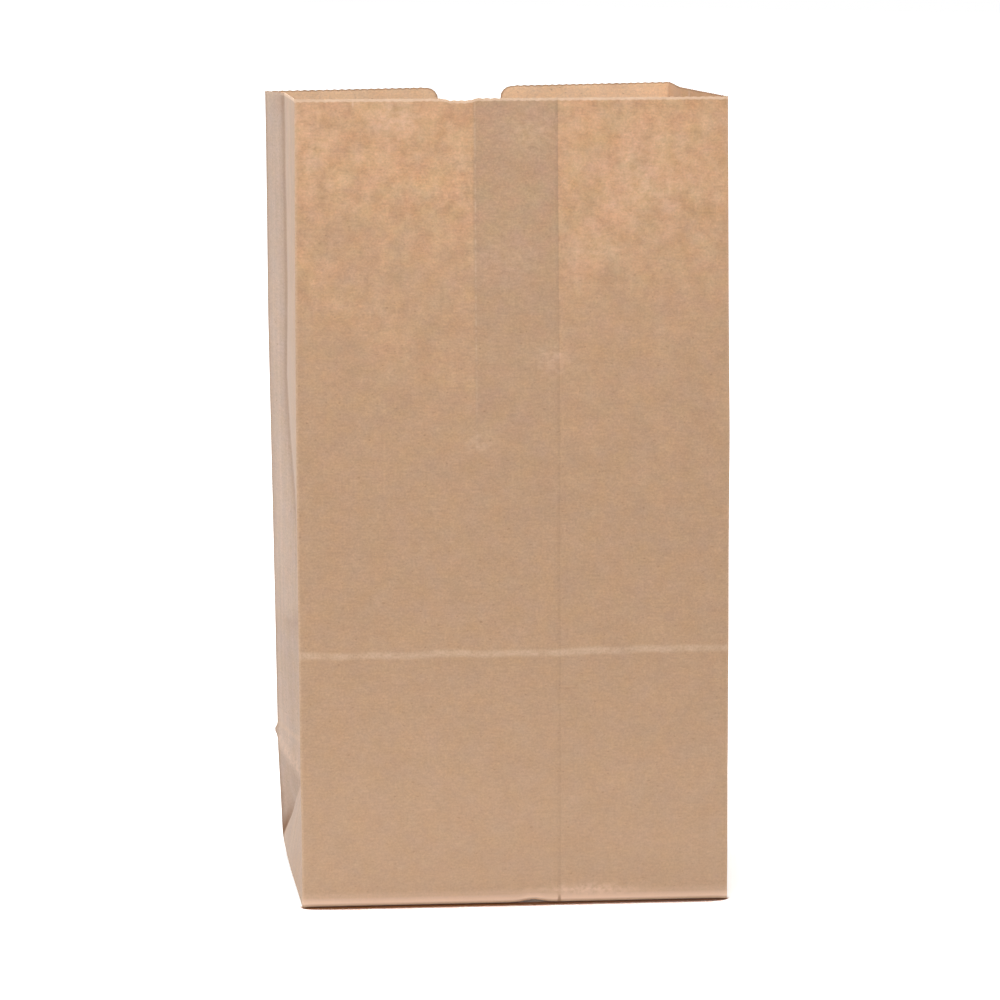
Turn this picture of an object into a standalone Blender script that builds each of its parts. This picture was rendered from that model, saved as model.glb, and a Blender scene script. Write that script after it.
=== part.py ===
"""Brown paper lunch bag: one sheet of kraft paper, glued into a gusseted tube and folded to a flat bottom.

The bag stands open on its folded bottom, front panel toward -Y, mouth up. The origin is on the surface it
stands on, under the middle of the bottom. The sheet is laid out flat, panel by panel, with its creases, glued
edges and cut rim as lines of the layout. Each panel is then folded into place and given its paper thickness.
"""

import math

import bmesh
import bpy
import numpy as np
from mathutils import Vector
from mathutils.geometry import delaunay_2d_cdt

# Sheet sizes, in metres
PANEL_WIDTH = 0.1524  # front and back panels, edge to edge
GUSSET_WIDTH = 0.0921  # a side gusset spread flat, front edge to back edge
BAG_HEIGHT = 0.2832  # base fold to the roots of the rim's teeth, at the middle of a panel
PAPER = 0.00012  # one ply
RIM_SKEW = 0.003  # how much higher the front rim is cut at the right edge than at the left
RIM_SKEW_BACK = 0.005  # the same for the back rim

# Glued seam down the front panel
SEAM_OVERLAP = 0.029  # width of the double band
SEAM_RIGHT_EDGE = 0.0154  # edge of the outer ply, right of the panel's middle

# Folded bottom
FLAP_LENGTH = 0.058  # tube length that folds under from each side of the base
FOLD_RISE = 0.001  # how far the rounded folds round the base stand above its flaps
FOLD_REACH = 0.005  # width of the rounded strip along each of those folds
FRONT_CREASE = 0.0894  # height of the crease pressed across the front by the folded bottom
CREASE_SKEW = 0.0018  # how much higher that crease is at its right end than at its left
STEP_RAMP = 0.00015  # width of the slope at the edge of a glued ply

# Cut rim
TOOTH_PITCH = 0.0026
TOOTH_DEPTH = 0.00025
NOTCH_WIDTH = 0.0315  # thumb notch in the back panel
NOTCH_DEPTH = 0.011
NOTCH_SHOULDER = 0.004  # radius where each side of the notch leaves the rim
NOTCH_SQUARENESS = 2.2  # 2 is a half ellipse, more is squarer

# How the opened bag stands
BASE_SHIFT = -0.0026  # the front edge of the base stands left of the middle
MOUTH_SHIFT_X = -0.009  # so does the mouth
MOUTH_SHIFT_Y = 0.0037  # which also stands behind the base
MOUTH_TWIST = 0.0045  # each end of the back rim moves this far in depth, right end back
BACK_SKEW = 0.0027  # how far the foot of the back wall stands right of the front wall's
BACK_SKEW_TOP = 0.200  # height where the two walls are level again
CORNER_PULL = 0.0024  # how much more the back corners of the base stand right
CORNER_PULL_TOP = 0.035
CORNER_LIFT = 0.0032  # how far the back corners of the base curl up
CORNER_LIFT_REACH = 0.045  # length of the curl along the back edge
CORNER_LIFT_TOP = 0.120  # height where the wall above has taken the curl up
TUCK_LOW = 0.0097  # how far the gusset's middle crease is pushed in where the base folds meet
TUCK_MOUTH = 0.0024  # the same at the mouth
TUCK_EASED = 0.178  # height where the tuck has eased to the mouth's
PANEL_BOW = 0.0015  # outward bow of the front and back panels
EDGE_BOW = 0.0007  # outward bow of the four upright folds
BACK_CREASE_RISE = 0.001  # how far the back's mouth crease stands out
FRONT_CREASE_RISE = 0.0005
CREASE_REACH = 0.030  # height over which a crease's rise dies away

# Facets of the curved paper
FACET = 0.0105
LINE_CLEARANCE = 0.3  # free points keep this share of a facet clear of each line

KRAFT = (0.50, 0.335, 0.205, 1.0)
KRAFT_ROUGHNESS = 0.85

HALF_WIDTH = PANEL_WIDTH / 2
HALF_DEPTH = GUSSET_WIDTH / 2
APEX_HEIGHT = HALF_DEPTH  # the gusset's folds meet here, half a depth above the base
SIDE_FLAP_END = HALF_WIDTH - FLAP_LENGTH  # where the side flaps end, from the middle
FLAP_LEVEL = 2 * PAPER  # level of the base above the two flaps that overlap under it
BASE_HEIGHT = FLAP_LEVEL + FOLD_RISE  # level of the folds round the base


def clear_scene():
    for obj in list(bpy.data.objects):
        bpy.data.objects.remove(obj, do_unlink=True)


def ramp(value):
    """0 below zero, 1 above one, straight between."""
    return min(max(value, 0.0), 1.0)


def tent(value):
    return max(0.0, 1 - abs(value))


# The standing form

def gusset_tuck(height):
    """How far the gusset's middle crease is pushed in at this height of paper."""
    pushed = ramp((TUCK_EASED - height) / (TUCK_EASED - APEX_HEIGHT))
    return TUCK_MOUTH + (TUCK_LOW - TUCK_MOUTH) * pushed


def back_offset(height):
    """How far the back wall stands right of the front wall at this height."""
    skew = BACK_SKEW * ramp(1 - height / BACK_SKEW_TOP)
    return skew + CORNER_PULL * ramp(1 - height / CORNER_PULL_TOP) ** 2


def corner_rise(inset, depth, height):
    """How far a curled back corner lifts the paper.

    inset is the distance from the side of the bag, and depth runs from 0 at the front to 1 at the back.
    """
    near = ramp(1 - inset / CORNER_LIFT_REACH) ** 2 * ramp(2 * depth - 1) ** 1.5
    return CORNER_LIFT * near * ramp(1 - height / CORNER_LIFT_TOP)


def upright_fold(side, face, height):
    """The fold between a panel and a gusset. side is -1 left or 1 right, face is -1 front or 1 back."""
    share = height / BAG_HEIGHT
    tuck = gusset_tuck(height) * ramp(height / APEX_HEIGHT)
    bow = EDGE_BOW * math.sin(math.pi * min(share, 1.0))
    x = side * (HALF_WIDTH + bow) + BASE_SHIFT + (MOUTH_SHIFT_X - BASE_SHIFT) * share
    y = face * math.sqrt(HALF_DEPTH ** 2 - tuck ** 2) + MOUTH_SHIFT_Y * share
    if face > 0:
        x += back_offset(height)
        y += side * MOUTH_TWIST * share
    return Vector((x, y, BASE_HEIGHT + height))


def front_crease_height(x):
    return FRONT_CREASE + CREASE_SKEW * x / PANEL_WIDTH


def crease_rise(face, x, height):
    if face > 0:
        return BACK_CREASE_RISE * tent((height - APEX_HEIGHT) / APEX_HEIGHT)
    return FRONT_CREASE_RISE * tent((height - front_crease_height(x)) / CREASE_REACH)


def panel_point(face, across, height):
    """A point of the front or back panel. across runs from 0 at the left to PANEL_WIDTH at the right."""
    share = across / PANEL_WIDTH
    left = upright_fold(-1, face, height)
    right = upright_fold(1, face, height)
    point = left.lerp(right, share)
    bow = PANEL_BOW * math.sin(math.pi * share) * math.sin(math.pi * min(height / BAG_HEIGHT, 1.0))
    point.y += face * (bow + crease_rise(face, across - HALF_WIDTH, height))
    point.z += corner_rise(min(across, PANEL_WIDTH - across), ramp(face), height)
    return point


def gusset_point(side, along, height):
    """A point of a gusset. along runs from 0 at the front fold to GUSSET_WIDTH at the back fold."""
    share = along / GUSSET_WIDTH
    front = panel_point(-1, HALF_WIDTH + side * HALF_WIDTH, height)
    back = panel_point(1, HALF_WIDTH + side * HALF_WIDTH, height)
    point = front.lerp(back, share)
    point.x -= side * gusset_tuck(height) * min(tent(2 * share - 1), height / APEX_HEIGHT)
    point.z = BASE_HEIGHT + height + corner_rise(0.0, share, height)
    return point


def base_point(x, y):
    """A point of the folded bottom, from its place in the flat layout."""
    depth = (y + HALF_DEPTH) / GUSSET_WIDTH
    rise = corner_rise(HALF_WIDTH - abs(x), depth, 0.0)
    edge = min(HALF_WIDTH - abs(x), HALF_DEPTH - abs(y))
    rise += FOLD_RISE * ramp(1 - edge / FOLD_REACH) ** 2
    return Vector((x + BASE_SHIFT + back_offset(0.0) * depth, y, FLAP_LEVEL + rise))


# Plies, as distances from the folded surface to the paper's two faces

def seam_left_edge():
    return SEAM_RIGHT_EDGE - SEAM_OVERLAP


def front_faces(across):
    """(outside, inside) distances at the front panel, where the outer ply of the seam comes from the left."""
    x = across - HALF_WIDTH
    before = seam_left_edge()
    outer = PAPER * ramp((x + HALF_WIDTH) / (before + HALF_WIDTH))
    outer *= 1 - ramp((x - SEAM_RIGHT_EDGE) / STEP_RAMP)
    if x <= before:
        return outer, PAPER - outer
    return outer, PAPER * ramp((x - before) / STEP_RAMP)


def flap_cover(inset, reach):
    """1 where a flap that folds in from an edge covers the base.

    inset is the distance from the side of the base, and reach the distance from the flap's own edge.
    """
    slanted = ramp((inset - reach) / math.sqrt(2) / STEP_RAMP)
    free = ramp((FLAP_LENGTH - reach) / STEP_RAMP)
    return min(slanted, free)


def base_faces(x, y):
    """(outside, inside) distances at the base: long flaps below the fold level, side flaps and tucks above."""
    inset = HALF_WIDTH - abs(x)
    front = flap_cover(inset, y + HALF_DEPTH)
    back = flap_cover(inset, HALF_DEPTH - y)
    side = ramp((abs(x) - SIDE_FLAP_END) / STEP_RAMP)
    below = front + back
    front_tuck = ramp((inset - y - HALF_DEPTH) / STEP_RAMP)
    back_tuck = ramp((inset - HALF_DEPTH + y) / STEP_RAMP)
    above = side * (1 + front_tuck + back_tuck)
    return PAPER * below, PAPER * above


# The flat layout of each panel

def steps_between(start, end, most):
    """Evenly spaced values from start to end, no further apart than most."""
    count = max(1, math.ceil(abs(end - start) / most - 1e-6))
    return [start + (end - start) * i / count for i in range(count + 1)]


def joined(marks, most):
    """The sorted marks with evenly spaced values added between them."""
    values = []
    marks = sorted(marks)
    for start, end in zip(marks, marks[1:]):
        values += steps_between(start, end, most)[:-1]
    return values + [marks[-1]]


def fold_heights(x):
    """Heights of the points up the sheet at x. The two panels that meet at an upright fold share them."""
    return joined((0, APEX_HEIGHT, front_crease_height(x), lowest_rim() - FACET / 2), FACET)


def lowest_rim():
    return BAG_HEIGHT - max(RIM_SKEW, RIM_SKEW_BACK) / 2


def base_marks():
    """Places along the front and back folds of the base where the flaps' edges start, from the left edge."""
    slant_start = STEP_RAMP * math.sqrt(2)
    half = [slant_start, HALF_WIDTH - SIDE_FLAP_END - STEP_RAMP, HALF_WIDTH - SIDE_FLAP_END]
    return half + [PANEL_WIDTH - value for value in half]


def seam_marks():
    """Places across the front panel where a ply of the seam starts or ends."""
    left = HALF_WIDTH + seam_left_edge()
    right = HALF_WIDTH + SEAM_RIGHT_EDGE
    return [left, left + STEP_RAMP, right, right + STEP_RAMP]


def base_line(face):
    """Points across a panel's base fold, shared with the base."""
    marks = [0, PANEL_WIDTH] + base_marks()
    if face < 0:
        marks += seam_marks()
    return joined(marks, FACET)


def gusset_base_line():
    return joined((0, HALF_DEPTH, GUSSET_WIDTH), FACET)


def rim_height(x, depth):
    """Height of the cut, without teeth. depth runs from 0 at the front rim to 1 at the back rim."""
    skew = RIM_SKEW + (RIM_SKEW_BACK - RIM_SKEW) * depth
    return BAG_HEIGHT + skew * x / PANEL_WIDTH


def teeth(start, end, height_at):
    """The saw-cut rim from start to end as (along, height) points, with a root at both ends."""
    count = max(1, round(abs(end - start) / TOOTH_PITCH))
    points = []
    for i in range(2 * count + 1):
        along = start + (end - start) * i / (2 * count)
        points.append((along, height_at(along) + TOOTH_DEPTH * (i % 2)))
    return points


def notch_curve(height_at):
    """The thumb notch from its left end to its right end: a rounded shoulder, a bowl and the other shoulder."""
    shoulder = []
    bowl = []
    half_bowl = NOTCH_WIDTH / 2 - NOTCH_SHOULDER
    for i in range(1, 6):
        turn = math.pi / 2 * i / 6
        shoulder.append((NOTCH_WIDTH / 2 - NOTCH_SHOULDER * math.sin(turn), NOTCH_SHOULDER * (1 - math.cos(turn))))
    count = 18
    for i in range(count + 1):
        turn = math.pi * i / count
        reach = math.copysign(abs(math.cos(turn)) ** (2 / NOTCH_SQUARENESS), math.cos(turn))
        drop = max(math.sin(turn), 0.0) ** (2 / NOTCH_SQUARENESS)
        bowl.append((-reach * half_bowl, NOTCH_SHOULDER + (NOTCH_DEPTH - NOTCH_SHOULDER) * drop))
    left = [(-x, drop) for x, drop in shoulder]
    right = list(reversed(shoulder))
    return [(HALF_WIDTH + x, height_at(HALF_WIDTH + x) - drop) for x, drop in left + bowl + right]


def segment_distance(point, start, end):
    line = Vector(end) - Vector(start)
    offset = Vector(point) - Vector(start)
    share = min(max(offset.dot(line) / line.length_squared, 0.0), 1.0)
    return (offset - line * share).length


def triangulate(outline, lines, free_points):
    """Triangles of a flat outline, with the lines as edges and the free points as corners."""
    points = [Vector(point) for point in outline]
    edges = []
    for line in lines:
        first = len(points)
        points += [Vector(point) for point in line]
        edges += [(i, i + 1) for i in range(first, len(points) - 1)]
    borders = list(zip(outline, outline[1:] + outline[:1]))
    for line in lines:
        borders += list(zip(line, line[1:]))
    for point in free_points:
        if all(segment_distance(point, a, b) > FACET * LINE_CLEARANCE for a, b in borders):
            points.append(Vector(point))
    face = [tuple(range(len(outline)))]
    corners, _, triangles, *_ = delaunay_2d_cdt(points, edges, face, 1, 1e-7)
    return corners, triangles


def upright_outline(bottom, top, width, left_x, right_x):
    """A panel's outline from its base line, its cut rim and the shared heights of its two folds."""
    right = [(width, height) for height in fold_heights(right_x)[1:]]
    left = [(0, height) for height in reversed(fold_heights(left_x)[1:])]
    return [(along, 0) for along in bottom] + right + list(reversed(top)) + left


def free_grid(columns, x_at, ceiling):
    """Points inside a panel, at the heights that its folds would have there."""
    points = []
    for along in columns:
        for height in fold_heights(x_at(along)):
            if height < ceiling(along) - FACET / 3:
                points.append((along, height))
    return points


def from_middle(along):
    return along - HALF_WIDTH


def front_layout():
    top = teeth(0, PANEL_WIDTH, lambda along: rim_height(from_middle(along), 0))
    lines = []
    for mark in seam_marks():
        heights = fold_heights(from_middle(mark)) + [rim_height(from_middle(mark), 0)]
        lines.append([(mark, height) for height in heights])
    across = joined([0, PANEL_WIDTH] + seam_marks(), FACET)
    lines.append([(along, front_crease_height(from_middle(along))) for along in across])
    grid = free_grid(base_line(-1), from_middle, lambda along: lowest_rim())
    outline = upright_outline(base_line(-1), top, PANEL_WIDTH, -HALF_WIDTH, HALF_WIDTH)
    return triangulate(outline, lines, grid)


def back_layout():
    notch_left = HALF_WIDTH - NOTCH_WIDTH / 2
    notch_right = HALF_WIDTH + NOTCH_WIDTH / 2

    def height_at(along):
        return rim_height(from_middle(along), 1)

    notch = notch_curve(height_at)
    top = teeth(0, notch_left, height_at) + notch + teeth(notch_right, PANEL_WIDTH, height_at)
    lines = [[(along, APEX_HEIGHT) for along in joined([0, PANEL_WIDTH], FACET)]]

    def ceiling(along):
        if notch_left - FACET / 2 < along < notch_right + FACET / 2:
            return lowest_rim() - NOTCH_DEPTH
        return lowest_rim()

    grid = free_grid(joined([0, PANEL_WIDTH], FACET), from_middle, ceiling)
    outline = upright_outline(base_line(1), top, PANEL_WIDTH, -HALF_WIDTH, HALF_WIDTH)
    return triangulate(outline, lines, grid)


def gusset_layout(side):
    x = side * HALF_WIDTH

    def rim(along):
        return rim_height(x, along / GUSSET_WIDTH)

    top = teeth(0, HALF_DEPTH, rim) + teeth(HALF_DEPTH, GUSSET_WIDTH, rim)[1:]
    middle = [height for height in fold_heights(x) if height >= APEX_HEIGHT]
    slant = steps_between(0, HALF_DEPTH, FACET)
    lines = [
        [(HALF_DEPTH, height) for height in middle] + [(HALF_DEPTH, rim(HALF_DEPTH))],
        [(along, along) for along in slant],
        [(GUSSET_WIDTH - along, along) for along in slant],
        [(along, APEX_HEIGHT) for along in steps_between(HALF_DEPTH, GUSSET_WIDTH, FACET)],
    ]
    grid = free_grid(gusset_base_line(), lambda along: x, rim)
    outline = upright_outline(gusset_base_line(), top, GUSSET_WIDTH, x, x)
    return triangulate(outline, lines, grid)


def flap_lines(face):
    """The slanted and free edges of a long flap, each with the foot of its ply step beside it."""
    lines = []
    for step in (0, STEP_RAMP):
        inset = FLAP_LENGTH - step
        edge = face * (HALF_DEPTH - inset)
        start = step * math.sqrt(2)
        end = inset + start
        for side in (-1, 1):
            outer = (side * (HALF_WIDTH - start), face * HALF_DEPTH)
            lines.append([outer, (side * (HALF_WIDTH - end), edge)])
        lines.append([(end - HALF_WIDTH, edge), (HALF_WIDTH - end, edge)])
    return lines


def base_layout():
    front = [(along - HALF_WIDTH, -HALF_DEPTH) for along in base_line(-1)]
    right = [(HALF_WIDTH, along - HALF_DEPTH) for along in gusset_base_line()[1:]]
    back = [(along - HALF_WIDTH, HALF_DEPTH) for along in reversed(base_line(1)[:-1])]
    left = [(-HALF_WIDTH, along - HALF_DEPTH) for along in reversed(gusset_base_line()[1:-1])]
    wide = HALF_WIDTH - FOLD_REACH
    deep = HALF_DEPTH - FOLD_REACH
    rounded = [(-wide, -deep), (wide, -deep), (wide, deep), (-wide, deep), (-wide, -deep)]
    lines = flap_lines(-1) + flap_lines(1) + [rounded]
    for side in (-1, 1):
        for x in (SIDE_FLAP_END, SIDE_FLAP_END + STEP_RAMP):
            lines.append([(side * x, -HALF_DEPTH), (side * x, HALF_DEPTH)])
    grid = []
    for x in joined([-HALF_WIDTH, HALF_WIDTH], FACET):
        for y in joined([-HALF_DEPTH, HALF_DEPTH], FACET):
            grid.append((x, y))
    return triangulate(front + right + back + left, lines, grid)


# Folding the layouts into one closed solid

def panels():
    """(layout, placing function, faces function, turned) of each part of the sheet."""
    def plain(along, height):
        return 0.0, PAPER

    return [
        (front_layout(), lambda a, h: panel_point(-1, a, h), lambda a, h: front_faces(a), False),
        (gusset_layout(1), lambda a, h: gusset_point(1, a, h), plain, False),
        (back_layout(), lambda a, h: panel_point(1, a, h), plain, True),
        (gusset_layout(-1), lambda a, h: gusset_point(-1, a, h), plain, True),
        (base_layout(), base_point, base_faces, True),
    ]


def folded_surface():
    """The folded sheet as (points, triangles, faces): each triangle corner keeps its two face distances."""
    points = []
    index = {}
    triangles = []
    distances = []
    for (corners, faces), place, faces_at, turned in panels():
        numbers = []
        for corner in corners:
            point = place(corner.x, corner.y)
            key = tuple(round(value, 6) for value in point)
            if key not in index:
                index[key] = len(points)
                points.append(point)
            numbers.append(index[key])
        reach = [faces_at(corner.x, corner.y) for corner in corners]
        for face in faces:
            face = list(reversed(face)) if turned else list(face)
            triangles.append([numbers[i] for i in face])
            distances.append([reach[i] for i in face])
    return points, triangles, distances


def offset_points(points, triangles, distances):
    """The outer and inner point of each folded point, each at its distance from all the planes that meet there."""
    rows = [[] for _ in points]
    for triangle, reach in zip(triangles, distances):
        a, b, c = (points[i] for i in triangle)
        normal = (b - a).cross(c - a).normalized()
        for corner, (outside, inside) in zip(triangle, reach):
            rows[corner].append((*normal, outside, inside))
    outer = []
    inner = []
    for point, found in zip(points, rows):
        table = np.array(found)
        move = np.linalg.lstsq(table[:, :3], table[:, 3:], rcond=0.08)[0]
        outer.append(point + Vector(move[:, 0]))
        inner.append(point - Vector(move[:, 1]))
    return outer, inner


def paper_solid(name):
    points, triangles, distances = folded_surface()
    outer, inner = offset_points(points, triangles, distances)
    bm = bmesh.new()
    outside = [bm.verts.new(point) for point in outer]
    inside = [bm.verts.new(point) for point in inner]
    for a, b, c in triangles:
        bm.faces.new((outside[a], outside[b], outside[c]))
    rim = [edge for edge in bm.edges if edge.is_boundary]
    number = {vert: i for i, vert in enumerate(outside)}
    for edge in rim:
        loop = edge.link_loops[0]
        a = number[loop.vert]
        b = number[loop.link_loop_next.vert]
        bm.faces.new((outside[b], outside[a], inside[a], inside[b]))
    for a, b, c in triangles:
        bm.faces.new((inside[c], inside[b], inside[a]))
    bmesh.ops.triangulate(bm, faces=[face for face in bm.faces if len(face.verts) > 3])
    mesh = bpy.data.meshes.new(name)
    bm.to_mesh(mesh)
    bm.free()
    mesh.shade_smooth()
    mesh.set_sharp_from_angle(angle=math.radians(4))
    obj = bpy.data.objects.new(name, mesh)
    bpy.context.scene.collection.objects.link(obj)
    return obj


def kraft_material():
    material = bpy.data.materials.new("kraft_paper")
    material.use_nodes = True
    shader = material.node_tree.nodes["Principled BSDF"]
    shader.inputs["Base Color"].default_value = KRAFT
    shader.inputs["Roughness"].default_value = KRAFT_ROUGHNESS
    shader.inputs["Metallic"].default_value = 0.0
    material.diffuse_color = KRAFT
    return material


def main():
    clear_scene()
    bag = paper_solid("paper_bag")
    bag.data.materials.append(kraft_material())


if __name__ == "__main__":
    main()
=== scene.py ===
"""Brown paper lunch bag, dressed for its picture: the folded sheet, its kraft paper and the studio.

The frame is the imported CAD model. The bag stands on its folded bottom, front panel toward -Y, mouth up.
Everything here is in metres and in the frame's own space.
"""

import math

import bpy
import numpy as np
from mathutils import Matrix, Vector, noise


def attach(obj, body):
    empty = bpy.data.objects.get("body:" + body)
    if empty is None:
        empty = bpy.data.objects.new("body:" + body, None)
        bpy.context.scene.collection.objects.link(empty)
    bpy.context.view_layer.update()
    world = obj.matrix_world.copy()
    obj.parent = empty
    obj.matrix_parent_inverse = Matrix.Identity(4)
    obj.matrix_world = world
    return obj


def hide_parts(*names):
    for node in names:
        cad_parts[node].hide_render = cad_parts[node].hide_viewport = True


bl_info = {
    "name": "Paper Lunch Bag",
    "version": (1, 0, 0),
    "blender": (4, 5, 0),
    "location": "View3D > Sidebar > Paper Bag",
    "description": "Folds a gusseted kraft paper bag and sets it in a pale studio",
    "category": "Object",
}

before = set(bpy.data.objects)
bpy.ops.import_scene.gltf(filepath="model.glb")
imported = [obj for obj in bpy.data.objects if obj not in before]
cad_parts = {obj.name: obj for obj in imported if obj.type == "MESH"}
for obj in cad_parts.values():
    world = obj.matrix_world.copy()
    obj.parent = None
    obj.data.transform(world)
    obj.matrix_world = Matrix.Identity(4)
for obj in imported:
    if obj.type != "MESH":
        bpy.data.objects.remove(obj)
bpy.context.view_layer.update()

# The walls in the order of the ring of columns
FRONT, RIGHT, BACK, LEFT = range(4)
PANELS = (FRONT, BACK)
GUSSETS = (RIGHT, LEFT)
# Sign of each wall's outward direction, along y for the panels and along x for the gussets
OUTWARD = (-1, 1, 1, -1)

# Slack when places are compared
TINY = 1e-6
# Distances that the faces' corners keep are cut off here
FAR = 0.02
# Above this height the rows of points follow the slanting rim
STRETCH_START = 0.236
# Greatest spacing of the rows
ROW_STEP = 0.0052
# Distances below the rim of the rows that stand close together
RIM_ROWS = (0, 0.0004, 0.0009, 0.0018, 0.0034, 0.0058)
# Least spacing of the saw teeth, and the least room before the last one
TOOTH_PITCH = 0.0011
LAST_TOOTH = 0.0009
# Roundness of the thumb notch's bowl: 2 would be an ellipse
BOWL_POWER = 2.2
# Steps that the notch's outline is measured in
NOTCH_STEPS = 2001
# Rounding of the folds: strength, reach and number of rounds
FOLD_PULL = 0.42
FOLD_REACH = 0.00085
FOLD_ROUNDS = 3
# Least distance of the inner face from the sheet's points
LEAST_PLY = 0.00004
# Edges that turn more than this are shaded sharp
SHARP_ANGLE = math.radians(50)
# Heights, and how far the front right fold is pushed out there
SPREAD_HEIGHTS = (0.0, 0.055, 0.078, 0.13, 0.165, 0.21)
SPREAD = (0.0006, 0.0006, 0.00035, 0.00025, 0.00045, 0.0001)
# Heights, and how much light shines through the front's single ply there
GLOW_HEIGHTS = (0.12, 0.17, 0.195, 0.212, 0.236, 0.252)
GLOW = (0.0, 0.12, 0.2, 0.3, 0.62, 0.9)
# Painted highlights on the front: place across and up, half width and height, and strength
SHINE = (
    (0.025, 0.0036, 0.016, 0.0017, 0.65),
    (-0.041, 0.276, 0.009, 0.007, 0.28),
    (0.045, 0.256, 0.014, 0.013, 0.2),
    (0.027, 0.232, 0.01, 0.007, 0.16),
    (0.006, 0.272, 0.009, 0.007, 0.2),
    (-0.002, 0.228, 0.012, 0.009, 0.12),
    (-0.07, 0.262, 0.008, 0.018, 0.14),
    (0.013, 0.1925, 0.006, 0.004, 0.28),
)
# The same for spots where more or less light shines through
GLOW_SPOTS = (
    (0.0135, 0.1955, 0.0055, 0.0055, 0.45),
    (-0.006, 0.166, 0.01, 0.006, 0.2),
    (-0.058, 0.24, 0.018, 0.01, -0.16),
)

WHITE = (1.0, 1.0, 1.0, 1.0)
# The soft lights: name, place, aim and size
LIGHTS = (
    ("top", (-0.25, -0.35, 2.0), (0, 0, 0.0), 1.2),
    ("mouth", (0.0, -0.03, 0.65), (0, 0.03, 0.28), 0.25),
    ("key", (-1.6, 0.35, 1.2), (0, 0, 0.15), 1.0),
    ("fill", (-0.5, -2.2, 0.4), (0, 0, 0.12), 1.4),
)
CAMERA_AIM = (-0.0032, 0.0, 0.1382)
# Azimuth, elevation and roll of the camera, in degrees
CAMERA_ANGLES = (10.16, 8.08, 1.18)


def linear(red, green, blue):
    """A colour given in 8-bit screen values, as the renderer's linear values."""
    values = []
    for value in (red, green, blue):
        value /= 255
        values.append(value / 12.92 if value <= 0.04045 else ((value + 0.055) / 1.055) ** 2.4)
    return tuple(values)


def amount(name, description, default, **limits):
    return bpy.props.FloatProperty(name=name, description=description, default=default, **limits)


def length(name, description, default, least=0.0, most=1.0):
    limits = {"min": least, "max": most, "precision": 5, "subtype": "DISTANCE", "unit": "LENGTH"}
    return amount(name, description, default, **limits)


def colour(name, description, *screen):
    limits = {"default": linear(*screen), "size": 3, "min": 0.0, "max": 1.0, "subtype": "COLOR"}
    return bpy.props.FloatVectorProperty(name=name, description=description, **limits)


class PaperBagSizes(bpy.types.PropertyGroup):
    """Sizes of the sheet and of its standing form."""

    panel_width: length("Panel width", "Front and back panels, edge to edge", 0.1524)
    gusset_width: length("Gusset width", "A side gusset spread flat", 0.0921)
    bag_height: length("Bag height", "Base fold to the cut rim", 0.2832)
    paper: length("Paper", "Thickness of one ply", 0.00012)
    fold_rise: length("Fold rise", "How far the rounded base folds stand above the flaps", 0.001)
    rim_skew: length("Rim skew", "How much higher the front rim is cut at the right edge", 0.003)
    rim_skew_back: length("Back rim skew", "The same for the back rim", 0.005)
    seam_overlap: length("Seam overlap", "Width of the double band down the front", 0.029)
    seam_right: length("Seam edge", "Edge of the outer ply, right of the middle", 0.0154)
    flap_length: length("Flap length", "Tube length folded under from each side of the base", 0.058)
    front_crease: length("Front crease", "Height of the crease pressed across the front", 0.0894)
    crease_skew: length("Crease skew", "How much higher that crease is at its right end", 0.0018)
    tooth_depth: length("Tooth depth", "Depth of the saw-cut rim's teeth", 0.00025)
    notch_width: length("Notch width", "Thumb notch in the back panel", 0.0315)
    notch_depth: length("Notch depth", "Depth of the thumb notch", 0.011)
    notch_shoulder: length("Notch shoulder", "Rounding where the notch leaves the rim", 0.004)
    base_shift: length("Base shift", "How far the front of the base stands left", -0.0026, least=-0.1)
    mouth_shift_x: length("Mouth shift across", "How far the mouth stands left", -0.009, least=-0.1)
    mouth_shift_y: length("Mouth shift back", "How far the mouth stands back", 0.0037, least=-0.1)
    mouth_twist: length("Mouth twist", "How far each end of the back rim moves in depth", 0.0045)
    back_skew: length("Back skew", "How far the back wall stands right of the front one", 0.0027)
    corner_pull: length("Corner pull", "How much more the back corners stand right", 0.0024)
    corner_lift: length("Corner lift", "How far the back corners of the base curl up", 0.0025)
    tuck_low: length("Tuck low", "How far the gusset is pushed in above the base folds", 0.0097)
    tuck_mouth: length("Tuck at mouth", "How far the gusset is pushed in at the mouth", 0.0024)
    tuck_eased: length("Tuck eased", "Height where the tuck has eased", 0.178)
    panel_bow: length("Panel bow", "Outward bow of the front and back panels", 0.0015)
    edge_bow: length("Edge bow", "Outward bow of the upright folds", 0.0007)
    facet: length("Facet", "Spacing of the sheet's points across the panels", 0.00138)


class PaperBagFinish(bpy.types.PropertyGroup):
    """Colours of the kraft paper."""

    kraft: colour("Kraft", "Colour of the paper", 188, 153, 123)
    lit: colour("Lit ply", "Single ply near the mouth, with light behind it", 207, 164, 127)
    # Gusset and Gusset back: painted sheen, the paler and greyer tone of the gussets where light grazes them
    side: colour("Gusset", "The gussets' cooler, rubbed face", 193, 163, 138)
    side_back_sheen: colour("Gusset back", "The same near the back folds", 197, 173, 156)
    inside: colour("Inside", "The sheet's inner face", 200, 158, 118)
    inside_lit: colour("Inside lit", "The inner face near the mouth, lit from behind", 243, 208, 172)
    crease: colour("Crease", "Rubbed fibres along a crease", 214, 184, 158)
    # Foot: partly rubbed paper and partly a painted highlight where the base folds face the floor; also the
    # colour of the painted highlights on the front and the left gusset
    wear_and_highlight: colour("Foot", "Rubbed paper along the base folds", 243, 208, 184)
    # Cut edge: torn fibres, and a painted highlight along the rim
    edge: colour("Cut edge", "Torn fibres along the cut rim", 235, 202, 173)
    # Speck: dark fibres, and also the painted shade along the front's lower lip
    speck_and_shade: colour("Speck", "Dark fibres in the pulp", 140, 103, 72)
    # Crevice: painted shade, laid where shade falls in the gussets' creases, corners and bend, beside the
    # seam's outer ply and just inside the rim
    shadow: colour("Crevice", "Grime in the gussets' creases and corners", 130, 92, 62)


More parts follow.
